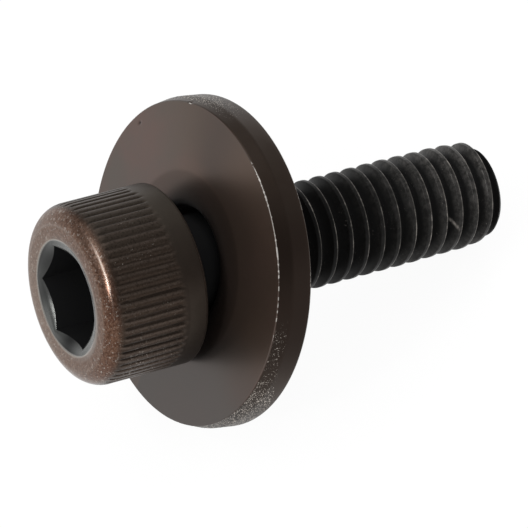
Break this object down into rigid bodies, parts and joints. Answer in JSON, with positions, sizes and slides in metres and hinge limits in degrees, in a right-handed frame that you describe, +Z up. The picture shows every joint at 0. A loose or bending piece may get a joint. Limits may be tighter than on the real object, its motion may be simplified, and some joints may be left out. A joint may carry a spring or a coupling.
{
  "type": "socket head cap screw with washer",
  "caption": "Dark steel socket head cap screw with a knurled cylinder head, hexagon socket and full thread, carrying a thick loose washer; clamps parts together.",
  "frame": {"origin": "on the floor under the middle of the part's box, as it lies at rest", "axes": "+X along the floor from the head towards the tip, +Z up; the screw's axis lies in the XZ plane and slopes down to the tip"},
  "size_m": [0.0266, 0.018, 0.0164],
  "materials": {
    "screw_steel": "black oxide, satin, with brown wear on edges",
    "washer_steel": "brown-black oxide, satin"
  },
  "bodies": {
    "root": {"cap_screw": "screw_steel", "flat_washer": "washer_steel"}
  },
  "joints": []
}
